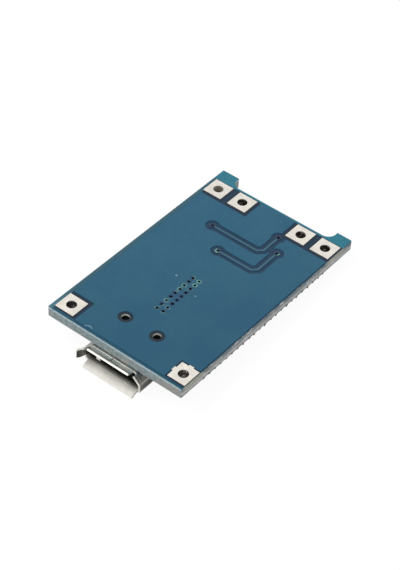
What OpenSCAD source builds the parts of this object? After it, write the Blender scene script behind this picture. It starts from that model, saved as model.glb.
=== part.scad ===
// Lithium cell charger module: a small circuit board with its charging socket and parts on the underside.
// The back face of the board looks up, the socket opens towards -Y and the eared end looks towards +Y.
// Lengths are in millimetres. Board positions are measured from the left corner of the socket edge.

/* [Board] */
// Overall width of the board, between its two scored edges
board_w = 17; // [17:0.1:19]
// Length of the board, ears included
board_l = 28; // [28:0.5:32]
// Thickness of the laminate
board_t = 1.2; // [1.0:0.1:1.6]
// Radius of the four outer corners
corner_r = 0.25; // [0.1:0.05:0.4]
// Depth of the recess between the two ears
ear_depth = 1.35; // [1.0:0.05:1.5]
// Width of the left ear
left_ear_w = 2.2; // [1.8:0.1:2.5]
// Width of the right ear
right_ear_w = 1.9; // [1.5:0.1:2.3]
// Radius where the recess turns into an ear
ear_fillet = 1.0; // [0.4:0.1:1.0]
// Depth of the score along each long edge, from each face
score_d = 0.35; // [0.2:0.05:0.45]
// Width that the score takes from each face
score_w = 0.1; // [0.05:0.01:0.12]

/* [Copper] */
// Height of a copper layer with its coating
copper_t = 0.05; // [0.03:0.01:0.08]
// Distance from the left edge to the copper area
pour_left_inset = 0.6; // [0.3:0.05:0.7]
// Distance from the right edge to the copper area
pour_right_inset = 0.2; // [0.15:0.05:0.5]
// Distance from the socket edge to the copper area
pour_near_inset = 0.3; // [0.2:0.05:0.6]
// Distance from the recess to the copper area
pour_far_inset = 0.35; // [0.25:0.05:0.6]
// Space between the copper area and what it goes round
clearance = 0.45; // [0.2:0.05:0.5]
// Width of a signal track
track_w = 0.25; // [0.15:0.05:0.35]
// Length of the 45 degree cut at a track's corner
track_cut = 0.5; // [0.3:0.1:0.8]

/* [Solder pads] */
// Side of a square solder pad
pad_side = 2.3; // [2.0:0.1:2.3]
// Height of a pad over the laminate
pad_t = 0.07; // [0.05:0.01:0.12]
// Bore of a plated hole
hole_d = 1.1; // [0.8:0.05:1.2]
// Wall of the plating in a hole, its tin included
plating_t = 0.08; // [0.07:0.01:0.12]
// Left edge to the centre of the input plus pad
in_plus_x = 1.7; // [1.5:0.05:1.9]
// Right edge to the centre of the input minus pad
in_minus_x = 1.22; // [1.22:0.01:1.4]
// Width of the input minus pad, across the board
in_minus_w = 2.1; // [1.9:0.05:2.1]
// Socket edge to the centres of the input pads
in_pad_y = 1.65; // [1.6:0.05:1.9]
// Left edge to the centre of the output plus pad
out_plus_x = 1.65; // [1.5:0.05:1.8]
// Right edge to the centre of the output minus pad
out_minus_x = 1.45; // [1.35:0.05:1.6]
// Left edge to the centre of the battery plus pad, as a share of the board's width
battery_plus_share = 0.285; // [0.28:0.0001:0.3]
// Right edge to the centre of the battery minus pad, as a share of the board's width
battery_minus_share = 0.2676; // [0.26:0.0001:0.28]
// Far edge, over the ears, to the centres of the far pads
far_pad_y = 2.9; // [2.8:0.05:3.2]
// Width of the groove round the input minus pad, which spokes cross
relief_gap = 0.18; // [0.1:0.02:0.3]
// Width of a spoke
spoke_w = 0.57; // [0.3:0.01:0.8]

/* [Vias] */
// Bore of a via
via_d = 0.3; // [0.2:0.02:0.34]
// Wall of the plating in a via
via_wall = 0.05; // [0.03:0.01:0.06]
// Ring of a signal via
via_ring_d = 0.65; // [0.55:0.05:0.8]
// Vias in each row under the charger chip
heat_via_count = 9; // [5:1:9]
// Distance between the vias of a row
heat_via_pitch = 0.71; // [0.6:0.01:0.75]
// Distance between the two rows
heat_via_gap = 0.78; // [0.6:0.02:1.0]

/* [Socket] */
// How far the middle of the socket lies right of the board's middle
socket_shift = 0.23; // [0:0.01:0.4]
// How far the mouth stands out past the board
overhang = 1.2; // [1.0:0.1:1.6]
// Length of the socket from its mouth to its back
socket_l = 5.7; // [5.7:0.1:6.5]
// Width of the folded case
case_w = 7.4; // [7.3:0.1:7.6]
// Width of its narrow side, which lies on the board
narrow_w = 5.5; // [5.3:0.1:5.7]
// Height of the case
case_h = 2.45; // [2.4:0.05:2.8]
// Height of its slanted corners
slant_h = 0.9; // [0.8:0.05:1.0]
// Thickness of the sheet
sheet_t = 0.23; // [0.2:0.01:0.25]
// Outer radius of the folds beside the narrow side and at the slants
fold_r = 0.4; // [0.35:0.05:0.45]
// Outer radius of the folds beside the wide side
wide_fold_r = 0.8; // [0.6:0.05:0.85]
// How far a lip stands out from the case
lip_rise = 0.3; // [0.2:0.05:0.4]
// Angle that the narrow and the wide lip are bent through
lip_angle = 40; // [35:5:50]
// Angle that the left side lip is bent through
left_lip_angle = 40; // [20:5:45]
// Angle that the right side lip is bent through
right_lip_angle = 20; // [15:5:45]
// Width of the cuts beside the narrow lip
lip_cut_w = 0.35; // [0.3:0.05:0.45]
// Width of the seam in the narrow side
seam_w = 0.1; // [0.06:0.02:0.14]
// Width of the stub that hangs from the narrow lip
stub_w = 0.5; // [0.3:0.1:0.7]
// Distance between the two locating pegs
peg_pitch = 4.0; // [3.8:0.1:4.2]
// Socket edge to the pegs
peg_y = 3.88; // [3.8:0.04:4.0]
// Diameter of a peg
peg_d = 0.7; // [0.6:0.05:0.75]
// How far a peg enters the board
peg_l = 0.7; // [0.5:0.1:0.9]
// Diameter of a peg's hole
peg_hole_d = 0.85; // [0.8:0.05:0.95]
// Distance between two contacts
contact_pitch = 0.65; // [0.6:0.05:0.7]
// Width of a contact
contact_w = 0.35; // [0.25:0.05:0.4]
// Thickness of a contact
contact_t = 0.15; // [0.1:0.05:0.2]
// Width of the tongue
tongue_w = 3.7; // [3.4:0.1:4.0]
// Thickness of the tongue
tongue_t = 0.6; // [0.5:0.05:0.7]

/* [Charger chip] */
// Body length along the board
charger_l = 4.9; // [4.7:0.1:5.1]
// Body width, between its leads
charger_w = 3.9; // [3.7:0.1:4.0]
// Body height
charger_h = 1.5; // [1.3:0.05:1.6]
// Distance between two leads
charger_pitch = 1.27; // [1.2:0.01:1.3]
// Width of a lead
charger_lead_w = 0.42; // [0.35:0.01:0.48]
// Width of the heat slug under the body
slug_w = 2.3; // [2.0:0.1:2.4]
// Length of the heat slug
slug_l = 3.2; // [2.8:0.1:3.4]
// How far a lead's tip stands out from the body
charger_reach = 1.05; // [0.95:0.05:1.15]
// Socket edge to the middle of the chip
charger_y = 9.75; // [9.5:0.05:10.0]

/* [Protection chip] */
// Body length
guard_l = 2.9; // [2.7:0.1:3.0]
// Body width, between its leads
guard_w = 1.6; // [1.5:0.1:1.7]
// Body height
guard_h = 1.1; // [0.9:0.05:1.2]
// Distance between two leads
guard_pitch = 0.95; // [0.9:0.01:1.0]
// Width of a lead
guard_lead_w = 0.4; // [0.3:0.02:0.42]
// How far a lead's tip stands out from the body
guard_reach = 0.6; // [0.5:0.05:0.7]
// Left edge to the middle of the chip, as a share of the board's width
guard_share = 0.2941; // [0.285:0.001:0.3]
// How far the chip lies between the charger chip and the switch chip, as a share of that room
guard_along = 0.6447; // [0.6:0.001:0.7]

/* [Switch chip] */
// Body width, along a row of its leads
switch_l = 3.0; // [2.9:0.1:3.1]
// Body length, between its leads
switch_w = 4.4; // [4.2:0.1:4.5]
// Body height
switch_h = 1.0; // [0.9:0.05:1.1]
// Distance between two leads
switch_pitch = 0.65; // [0.6:0.01:0.7]
// Width of a lead
switch_lead_w = 0.25; // [0.2:0.01:0.28]
// How far a lead's tip stands out from the body
switch_reach = 0.9; // [0.8:0.05:1.0]
// Far edge to the middle of the chip
switch_y = 5.1; // [4.9:0.1:5.2]

/* [Small parts] */
// Length of a resistor, capacitor or lamp
chip_l = 1.6; // [1.4:0.1:1.8]
// Width of one
chip_w = 0.8; // [0.7:0.1:1.0]
// Length of an end cap
cap_l = 0.35; // [0.25:0.05:0.4]
// Height of a resistor
resistor_h = 0.5; // [0.35:0.05:0.6]
// Height of a capacitor
capacitor_h = 0.85; // [0.7:0.05:1.0]
// Height of a lamp's base
lamp_base_h = 0.3; // [0.2:0.05:0.4]
// Height of a lamp's lens over its base
lens_h = 0.35; // [0.25:0.05:0.5]
// Left edge to the lamps
lamp_x = 1.6; // [1.5:0.1:1.8]
// Left edge to the lamp resistors
lamp_resistor_x = 3.5; // [3.4:0.1:3.6]
// Left edge to the left column of small parts
left_column_x = 1.9; // [1.7:0.1:2.0]
// Charger chip's leads to the middle of the right column of small parts
right_column_gap = 2.79; // [2.6:0.01:2.9]
// Socket edge to the charging lamp
charging_lamp_y = 6.6; // [6.4:0.1:6.8]
// Socket edge to the full lamp
full_lamp_y = 9.4; // [9.2:0.1:9.6]
// Socket edge to the input capacitor
input_capacitor_y = 5.5; // [5.3:0.1:5.7]
// Socket edge to the current resistor
current_resistor_y = 8.2; // [8.0:0.1:8.4]
// Socket edge to the input resistor
input_resistor_y = 11.2; // [11.0:0.1:11.4]

/* [Hidden] */
$fn = 48;

// Overlap of a cutting tool past the surface that it cuts
over = 1;
// Clearance of an insulator in the sheet round it
snug = 0.02;

// Height of the laminate's back face over the lowest point, and the middle of the whole part
back_z = board_t + copper_t + case_h + lip_rise;
mid_x = board_w / 2;
mid_y = (board_l - overhang) / 2;
under_z = -board_t - copper_t;
recess_y = board_l - ear_depth;

// The copper stays closer to a peg's hole than to a pad, and closer to everything under the board
peg_clearance = 0.8 * clearance;
under_clearance = 0.2;

// Centres of the six pads
in_plus = [in_plus_x, in_pad_y];
in_minus = [board_w - in_minus_x, in_pad_y];
out_plus = [out_plus_x, board_l - far_pad_y];
battery_plus = [board_w * battery_plus_share, board_l - far_pad_y];
battery_minus = [board_w * (1 - battery_minus_share), board_l - far_pad_y];
out_minus = [board_w - out_minus_x, board_l - far_pad_y];
cleared_pads = [in_plus, out_plus, battery_plus, battery_minus, out_minus];
all_pads = concat(cleared_pads, [in_minus]);
pad_size = [pad_side, pad_side];
in_minus_size = [in_minus_w, pad_side];
drill_d = hole_d + 2 * plating_t;

// Heat vias in two rows through the charger chip's slug, a little left of the socket's middle
row_shift = 0.12;
socket_x = mid_x + socket_shift;
charger_x = socket_x - row_shift;
heat_via_places = [
    for (side = [-0.5, 0.5], i = [0:heat_via_count - 1])
        [charger_x + side * heat_via_gap, charger_y + (i - (heat_via_count - 1) / 2) * heat_via_pitch]
];

// Distances over the tips of the chips' leads, the leads' thickness, their feet's length, and the bodies'
// height over the board
charger_span = charger_w + 2 * charger_reach;
guard_span = guard_w + 2 * guard_reach;
switch_span = switch_w + 2 * switch_reach;
charger_lead_t = 0.2;
guard_lead_t = 0.15;
switch_lead_t = 0.13;
charger_foot_l = 0.5;
guard_foot_l = 0.3;
switch_foot_l = 0.5;
charger_stand = 0.1;
guard_stand = 0.05;
switch_stand = 0.1;

// Room along the board from the land of the charger chip's slug to the switch chip and to the far pads
land_past = 0.2;
land_side = 0.03;
tail_past = 0.1;
slug_land_l = heat_via_pitch * heat_via_count + land_past;
slug_end = charger_y + slug_land_l / 2;
function to_switch(share) = slug_end + share * (board_l - switch_y - switch_span / 2 - slug_end);
function to_pads(share) = slug_end + share * (board_l - far_pad_y - pad_side / 2 - slug_end);

// Signal vias, and the two tracks between them
via_drill_d = via_d + 2 * via_wall;
via_a = [board_w * 0.2794, to_pads(0.6515)];
via_b = [board_w * 0.6471, to_pads(0.9312)];
via_c = [board_w * 0.4441, to_switch(0.6521)];
via_d4 = [board_w * 0.7235, to_pads(0.7432)];
signal_via_places = [via_a, via_b, via_c, via_d4];
function bent(a, b) = [a, [b.x - track_cut, a.y], [b.x, a.y + track_cut], b];
back_tracks = [bent(via_a, via_b), bent(via_c, via_d4)];

// Socket: the case's rear, the start of its lips and how deep they root in the sheet and in each other, and
// the places of pegs, feet and contacts
socket_rear = socket_l - overhang;
lip_root = 0.05;
lip_joint = 0.02;
lip_step = 0.015;
knee_step = 0.005;
wide_lip_past = 0.25;
side_lip_past = 0.15;
stub_x = -1.1;
lip_outer_r = (lip_rise + lip_step * cos(lip_angle)) / (1 - cos(lip_angle));
lip_run = (lip_outer_r + sheet_t - knee_step) * sin(lip_angle);
lip_start = lip_run - overhang - lip_root;
insulator_front = 1.8;
tongue_front = lip_start + 0.75;
tongue_z = -1.3;
peg_xs = [-peg_pitch / 2, peg_pitch / 2];
seam_front = -0.68;
seam_dot_y = -0.16;
seam_dot_d = 0.24;
notch_w = narrow_w - 2 * fold_r;
notch_y = peg_y - peg_d / 2 - 0.3;
foot_l = 1.1;
foot_ys = [0.8, socket_rear - foot_l - 0.1];
foot_share = 0.413;
foot_reach = foot_share * (in_minus.x - in_minus_w / 2 - socket_x - case_w / 2);
latch_x = 1.3;
latch_y = 0.7;
latch_window = [0.7, 1.1];
leaf_x = 1.9;
leaf_y = 1.0;
contact_xs = [for (i = [-2:2]) i * contact_pitch];
tail_l = 0.75;
contact_front = tongue_front + 0.25;

// Chip packages: body length along the leads' rows, width between them, height, span, pins a side, pitch,
// lead width, lead thickness, foot length and height over the board
charger_kind = [
    charger_l, charger_w, charger_h, charger_span, 4, charger_pitch, charger_lead_w,
    charger_lead_t, charger_foot_l, charger_stand
];
guard_kind = [
    guard_l, guard_w, guard_h, guard_span, 3, guard_pitch, guard_lead_w,
    guard_lead_t, guard_foot_l, guard_stand
];
switch_kind = [
    switch_l, switch_w, switch_h, switch_span, 4, switch_pitch, switch_lead_w,
    switch_lead_t, switch_foot_l, switch_stand
];
guard_at = [board_w * guard_share, to_switch(guard_along)];
switch_at = [mid_x, board_l - switch_y];
charger_at = [charger_x, charger_y];
slug_size = [slug_w, slug_l];

// Small parts: centre, and whether the part lies across the board
small_land_l = chip_l + 2 * land_past;
right_column_x = charger_x + charger_span / 2 + right_column_gap;
left_free = [full_lamp_y + small_land_l / 2, board_l - far_pad_y - pad_side / 2];
right_free = [input_resistor_y + small_land_l / 2, board_l - far_pad_y - pad_side / 2];
function in_room(room, share) = room[0] + share * (room[1] - room[0]);
charging_lamp = [lamp_x, charging_lamp_y, false];
full_lamp = [lamp_x, full_lamp_y, false];
lamp_resistor_1 = [lamp_resistor_x, charging_lamp_y, false];
lamp_resistor_2 = [lamp_resistor_x, full_lamp_y, false];
input_capacitor = [right_column_x, input_capacitor_y, true];
current_resistor = [right_column_x, current_resistor_y, false];
input_resistor = [right_column_x, input_resistor_y, false];
cell_capacitor = [charger_x, to_switch(0.2302), true];
filter_capacitor = [left_column_x, in_room(left_free, 0.2362), false];
filter_resistor = [left_column_x, in_room(left_free, 0.5166), false];
sense_resistor = [right_column_x, in_room(right_free, 0.5447), false];
small_parts = [
    charging_lamp, full_lamp, lamp_resistor_1, lamp_resistor_2, input_capacitor, current_resistor,
    input_resistor, cell_capacitor, filter_capacitor, filter_resistor, sense_resistor
];

// Solder lands under the board, each as centre and size
function sized(p, across, u, w, l) = across
    ? [p.x + u, p.y, l, w]
    : [p.x, p.y + u, w, l];
function small_lands(p) = [
    for (s = [-1, 1])
        let (u = s * (chip_l - cap_l + land_past) / 2)
            sized(p, p.z, u, chip_w + land_past / 2, cap_l + land_past)
];
function pin_place(kind, i) = (i - (kind[4] - 1) / 2) * kind[5];
function chip_lands(at, kind, turned) = [
    for (s = [-1, 1], i = [0:kind[4] - 1])
        let (u = s * (kind[3] / 2 - kind[8] / 2 + land_past / 4), v = pin_place(kind, i))
        turned
            ? [at.x + v, at.y + u, kind[6] + 2 * land_side, kind[8] + land_past]
            : [at.x + u, at.y + v, kind[8] + land_past, kind[6] + 2 * land_side]
];
slug_land = [charger_at.x, charger_at.y, slug_size.x + land_past, slug_land_l];
foot_lands = [
    for (s = [-1, 1], y = foot_ys)
        [
            socket_x + s * (case_w / 2 + foot_reach / 2 - sheet_t / 2), y + foot_l / 2,
            foot_reach + sheet_t + land_past, foot_l + land_past
        ]
];
tail_lands = [
    for (x = contact_xs)
        [socket_x + x, socket_rear + tail_l / 2 + tail_past, contact_w, tail_l + tail_past]
];
lands = concat(
    [for (p = small_parts, land = small_lands(p)) land],
    chip_lands(charger_at, charger_kind, false),
    chip_lands(guard_at, guard_kind, false),
    chip_lands(switch_at, switch_kind, true),
    [slug_land], foot_lands, tail_lands
);

// Tracks under the board, as routes between lands
function beside(p, s) = [p.x, p.y + s * (chip_l / 2 - cap_l / 2)];
function charger_pin(side, i) = [
    charger_x + side * (charger_span / 2 - charger_kind[8] / 2),
    charger_y + pin_place(charger_kind, i)
];
function to_pin(from, pin) = [from, [pin.x - sign(pin.x - from.x) * abs(pin.y - from.y), from.y], pin];
front_tracks = [
    [beside(charging_lamp, -1), beside(lamp_resistor_1, -1)],
    [beside(full_lamp, 1), beside(lamp_resistor_2, 1)],
    to_pin(beside(lamp_resistor_1, 1), charger_pin(-1, 0)),
    to_pin(beside(lamp_resistor_2, -1), charger_pin(-1, 1)),
    to_pin(beside(current_resistor, 1), charger_pin(1, 1)),
    [beside(filter_capacitor, 1), beside(filter_resistor, -1)],
    to_pin(via_c, [guard_at.x + guard_span / 2 - guard_kind[8] / 2, guard_at.y]),
    to_pin(via_a, [guard_at.x - guard_span / 2 + guard_kind[8] / 2, guard_at.y + guard_pitch])
];

// Everything is drawn on the board's own corner and then moved to the middle of the part's base
module placed() {
    translate([-mid_x, -mid_y, back_z]) children();
}

// What lies under the board is drawn with its height pointing away from it
module under_board(at, across = false) {
    translate([at.x, at.y, under_z]) rotate([180, 0, across ? 90 : 0]) children();
}

module at_socket() {
    translate([socket_x, 0, under_z]) children();
}

module centred_square(at, size) {
    translate([at.x - size.x / 2, at.y - size.y / 2]) square(size);
}

module circles(places, d) {
    for (p = places) translate(p) circle(d = d);
}

module holes(places, d) {
    translate([0, 0, -board_t - over])
        linear_extrude(board_t + 2 * over) circles(places, d);
}

// One straight piece of a track with round ends
module track_piece(a, b, w) {
    run = norm(b - a);
    translate(a) rotate(atan2(b.y - a.y, b.x - a.x)) translate([0, -w / 2]) square([run, w]);
    circles([a, b], w);
}

module track(route, w) {
    for (i = [0:len(route) - 2]) track_piece(route[i], route[i + 1], w);
}

module grown_lands(grow) {
    for (l = lands) centred_square([l[0], l[1]], [l[2] + 2 * grow, l[3] + 2 * grow]);
}

module board_outline() {
    difference() {
        union() {
            translate([corner_r, 0]) square([board_w - 2 * corner_r, board_l]);
            translate([0, corner_r]) square([board_w, board_l - 2 * corner_r]);
            circles(
                [
                    for (x = [corner_r, board_w - corner_r], y = [corner_r, board_l - corner_r])
                        [x, y]
                ],
                2 * corner_r
            );
        }
        recess();
    }
}

module recess() {
    left = left_ear_w;
    right = board_w - right_ear_w;
    translate([left, recess_y + ear_fillet]) square([right - left, ear_depth + over]);
    translate([left + ear_fillet, recess_y]) square([right - left - 2 * ear_fillet, ear_depth + over]);
    circles(
        [[left + ear_fillet, recess_y + ear_fillet], [right - ear_fillet, recess_y + ear_fillet]],
        2 * ear_fillet
    );
}

// The score takes a slanted strip off both faces along each long edge
module score_cut() {
    strip = [[-over, -score_d], [0, -score_d], [score_w, 0], [score_w, over], [-over, over]];
    translate([0, board_l + over, 0]) rotate([90, 0, 0]) linear_extrude(board_l + 2 * over) polygon(strip);
}

module score_cuts() {
    for (side = [0, 1], face = [0, 1])
        translate([side * board_w, 0, -face * board_t])
            mirror([side, 0, 0]) mirror([0, 0, face]) score_cut();
}

module pour_outline() {
    translate([pour_left_inset, pour_near_inset]) square([
        board_w - pour_left_inset - pour_right_inset,
        recess_y - pour_near_inset - pour_far_inset
    ]);
}

module printed_board() {
    color([0.23, 0.38, 0.49]) placed() difference() {
        translate([0, 0, -board_t]) linear_extrude(board_t) board_outline();
        score_cuts();
        holes(all_pads, drill_d);
        holes(concat(heat_via_places, signal_via_places), via_drill_d);
        holes([for (x = peg_xs) [socket_x + x, peg_y]], peg_hole_d);
    }
}

module back_copper() {
    ring_places = signal_via_places;
    color([0.2, 0.36, 0.5]) placed() linear_extrude(copper_t) {
        difference() {
            pour_outline();
            for (p = cleared_pads) centred_square(p, pad_size + [2, 2] * clearance);
            centred_square(in_minus, in_minus_size + [2, 2] * relief_gap);
            for (route = back_tracks) track(route, track_w + 2 * clearance);
            circles(ring_places, via_ring_d + 2 * clearance);
            circles([for (x = peg_xs) [socket_x + x, peg_y]], peg_hole_d + 2 * peg_clearance);
            circles(heat_via_places, via_drill_d);
        }
        difference() {
            for (route = back_tracks) track(route, track_w);
            circles(ring_places, via_ring_d);
        }
    }
}

module front_copper() {
    color([0.2, 0.36, 0.5]) placed() translate([0, 0, under_z]) linear_extrude(copper_t) {
        difference() {
            pour_outline();
            for (p = all_pads) centred_square(p, pad_size + [1, 1] * clearance);
            grown_lands(under_clearance);
            for (route = front_tracks) track(route, track_w + 2 * under_clearance);
            circles(signal_via_places, via_ring_d + 2 * under_clearance);
            circles([for (x = peg_xs) [socket_x + x, peg_y]], peg_hole_d + clearance);
        }
        difference() {
            for (route = front_tracks) track(route, track_w);
            grown_lands(0);
            circles(signal_via_places, via_ring_d);
        }
    }
}

module front_lands() {
    color([0.8, 0.8, 0.78]) placed() translate([0, 0, under_z]) linear_extrude(copper_t) difference() {
        grown_lands(0);
        circles(heat_via_places, via_drill_d);
    }
}

// A pad is one plated eyelet: a square on each face and a sleeve through the board
module pad_eyelet(at, size) {
    difference() {
        union() {
            for (z = [0, -board_t - pad_t])
                translate([0, 0, z]) linear_extrude(pad_t) centred_square(at, size);
            translate([at.x, at.y, -board_t]) cylinder(h = board_t, d = drill_d);
        }
        translate([at.x, at.y, -board_t - over]) cylinder(h = board_t + 2 * over, d = hole_d);
    }
}

module plain_pad(at) {
    color([0.9, 0.89, 0.86]) placed() pad_eyelet(at, pad_size);
}

module pad_in_plus() { plain_pad(in_plus); }
module pad_out_plus() { plain_pad(out_plus); }
module pad_battery_plus() { plain_pad(battery_plus); }
module pad_battery_minus() { plain_pad(battery_minus); }
module pad_out_minus() { plain_pad(out_minus); }

// The input minus pad reaches the copper area through two spokes
module pad_in_minus() {
    color([0.9, 0.89, 0.86]) placed() {
        pad_eyelet(in_minus, in_minus_size);
        linear_extrude(copper_t) {
            translate([in_minus.x - in_minus_w / 2 - relief_gap, in_minus.y - spoke_w / 2])
                square([relief_gap, spoke_w]);
            translate([in_minus.x - spoke_w / 2, in_minus.y + pad_side / 2])
                square([spoke_w, relief_gap]);
        }
    }
}

module via_sleeve(ring_d) {
    difference() {
        union() {
            translate([0, 0, under_z]) cylinder(h = board_t + 2 * copper_t, d = via_drill_d);
            for (z = [0, under_z]) translate([0, 0, z]) cylinder(h = copper_t, d = ring_d);
        }
        translate([0, 0, under_z - over]) cylinder(h = board_t + 2 * over + 2 * copper_t, d = via_d);
    }
}

module heat_vias() {
    color([0.55, 0.6, 0.6]) placed()
        for (p = heat_via_places) translate(p) via_sleeve(via_drill_d);
}

module signal_vias() {
    color([0.6, 0.68, 0.7]) placed()
        for (p = signal_via_places) translate(p) via_sleeve(via_ring_d);
}

// Section of the folded case: six folds, each a circle about its own centre, so that growing the section by
// an amount only grows the circles. The narrow side is at height zero and the wide side below it.
half_w = case_w / 2;
half_n = narrow_w / 2;
slant_a = atan2(half_w - half_n, slant_h);
slant_reach = half_n * cos(slant_a) - fold_r;
narrow_fold = [(slant_reach + fold_r * sin(slant_a)) / cos(slant_a), -fold_r];
knee_fold = [half_w - fold_r, (slant_reach - (half_w - fold_r) * cos(slant_a)) / sin(slant_a)];
wide_fold = [half_w - wide_fold_r, wide_fold_r - case_h];
right_folds = [
    [narrow_fold, fold_r, 90, slant_a], [knee_fold, fold_r, slant_a, 0], [wide_fold, wide_fold_r, 0, -90]
];
function on_fold(c, r, a) = c + r * [cos(a), sin(a)];
function flipped(points) = [for (i = [len(points) - 1:-1:0]) [-points[i].x, points[i].y]];
function right_section(grow) = [for (f = right_folds, a = [f[2], f[3]]) on_fold(f[0], f[1] + grow, a)];

module section(grow) {
    polygon(concat(right_section(grow), flipped(right_section(grow))));
    for (f = right_folds, side = [-1, 1])
        translate([side * f[0].x, f[0].y]) circle(r = f[1] + grow);
}

module along_socket(from, to) {
    translate([0, to, 0]) rotate([90, 0, 0]) linear_extrude(to - from) children();
}

// A lip is the sheet bent out round an arc: straight along each side of the section, and turned at the knee.
// Its faces stay a hair inside the faces of what they run into, by the given step
module bent_sheet(step, angle) {
    reach = 3 * (lip_outer_r + sheet_t);
    middle = [lip_outer_r, 0];
    intersection() {
        difference() {
            translate(middle) circle(r = lip_outer_r + sheet_t - step);
            translate(middle) circle(r = lip_outer_r + step);
        }
        polygon([middle, middle - [reach, 0], middle + reach * [-cos(angle), sin(angle)]]);
    }
}

module straight_lip(from, to, out_a, angle, past) {
    translate([from.x, lip_start + lip_root, from.y]) rotate([180, -out_a, 0])
        translate([0, 0, -past[0]])
            linear_extrude(norm(to - from) + past[0] + past[1]) bent_sheet(lip_step, angle);
}

module knee_lip(angle) {
    translate([knee_fold.x, lip_start + lip_root, knee_fold.y]) rotate([90, 0, 0])
        rotate_extrude(angle = slant_a) translate([fold_r, 0]) bent_sheet(knee_step, angle);
}

module lips() {
    points = right_section(0);
    narrow_end = points[0];
    wide_end = points[5];
    straight_lip([-narrow_end.x, narrow_end.y], narrow_end, 90, lip_angle, [0, 0]);
    straight_lip(wide_end, [-wide_end.x, wide_end.y], -90, lip_angle, [1, 1] * wide_lip_past);
    for (side = [0, 1]) mirror([side, 0, 0]) {
        angle = side == 0 ? right_lip_angle : left_lip_angle;
        straight_lip(points[1], points[2], slant_a, angle, [0, lip_joint]);
        straight_lip(points[3], points[4], 0, angle, [lip_joint, side_lip_past]);
        knee_lip(angle);
    }
}

// Cuts that part the narrow lip from the slanted ones
module lip_cuts() {
    turn = (90 + slant_a) / 2;
    for (side = [0, 1]) mirror([side, 0, 0])
        translate([narrow_fold.x, 0, narrow_fold.y]) rotate([0, -turn, 0])
            translate([-fold_r / 2, -overhang - over, -lip_cut_w / 2])
                cube([fold_r + over, overhang + over + lip_start + lip_root, lip_cut_w]);
}

// Stub on the narrow lip's edge, where the sheet was broken off its strip
module lip_stub() {
    translate([stub_x - stub_w / 2, -overhang + lip_root / 2, lip_step - sheet_t])
        cube([stub_w, sheet_t, lip_rise + sheet_t / 4]);
}

module feet() {
    for (side = [0, 1], y = foot_ys) mirror([side, 0, 0]) {
        translate([half_w - sheet_t, y, -slant_h - 0.3]) cube([sheet_t, foot_l, slant_h + 0.3]);
        translate([half_w - sheet_t, y, -sheet_t]) cube([foot_reach + sheet_t, foot_l, sheet_t]);
    }
}

// Openings in the sheet: two latch windows on the board side, and two spring leaves on the wide side
module windows() {
    for (side = [-1, 1]) {
        translate([side * latch_x - latch_window.x / 2, latch_y, -sheet_t - over / 2])
            cube([latch_window.x, latch_window.y, sheet_t + over]);
        translate([side * leaf_x, leaf_y, -case_h - over / 2]) spring_slot();
    }
    translate([-notch_w / 2, notch_y, -sheet_t - over / 2])
        cube([notch_w, socket_rear - notch_y + over, sheet_t + over]);
    translate([-seam_w / 2, seam_front, -sheet_t - over / 2])
        cube([seam_w, notch_y - seam_front + over / 2, sheet_t + over]);
    translate([0, seam_dot_y, -sheet_t - over / 2]) cylinder(h = sheet_t + over, d = seam_dot_d);
}

module spring_slot() {
    leaf = [0.8, 1.9];
    slot = 0.2;
    difference() {
        translate([-leaf.x / 2 - slot, -slot, 0]) cube([leaf.x + 2 * slot, leaf.y + slot, sheet_t + over]);
        translate([-leaf.x / 2, 0, -over]) cube([leaf.x, leaf.y + over, sheet_t + 3 * over]);
    }
}

module socket_case() {
    color([0.75, 0.76, 0.77]) placed() at_socket() difference() {
        union() {
            difference() {
                along_socket(lip_start, socket_rear) section(0);
                along_socket(lip_start - over, socket_rear + over) section(-sheet_t);
            }
            feet();
            lips();
            lip_stub();
        }
        lip_cuts();
        windows();
    }
}

// One contact: along the tongue, out at the back and up to its tail on the board
module contact(x) {
    riser = socket_rear;
    low = tongue_z - contact_t / 2;
    profile = [
        [contact_front, low], [riser + contact_t, low], [riser + contact_t, -contact_t],
        [riser + tail_l, -contact_t], [riser + tail_l, 0], [riser, 0],
        [riser, low + contact_t], [contact_front, low + contact_t]
    ];
    translate([x - contact_w / 2, 0, 0]) rotate([90, 0, 90]) linear_extrude(contact_w) polygon(profile);
}

module socket_insulator() {
    color([0.1, 0.1, 0.11]) placed() at_socket() difference() {
        union() {
            along_socket(insulator_front, socket_rear) section(-sheet_t - snug);
            translate([-tongue_w / 2, tongue_front, tongue_z - tongue_t])
                cube([tongue_w, insulator_front - tongue_front + snug, tongue_t]);
            translate([snug - notch_w / 2, notch_y + snug, -sheet_t - 2 * snug])
                cube([notch_w - 2 * snug, socket_rear - notch_y - snug, sheet_t + 2 * snug]);
            for (x = peg_xs)
                translate([x, peg_y, -sheet_t]) cylinder(h = sheet_t + copper_t + peg_l, d = peg_d);
        }
        for (x = contact_xs) contact(x);
    }
}

module one_contact(i) {
    color([0.85, 0.72, 0.4]) placed() at_socket() contact(contact_xs[i - 1]);
}

module socket_contact_1() { one_contact(1); }
module socket_contact_2() { one_contact(2); }
module socket_contact_3() { one_contact(3); }
module socket_contact_4() { one_contact(4); }
module socket_contact_5() { one_contact(5); }

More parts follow.
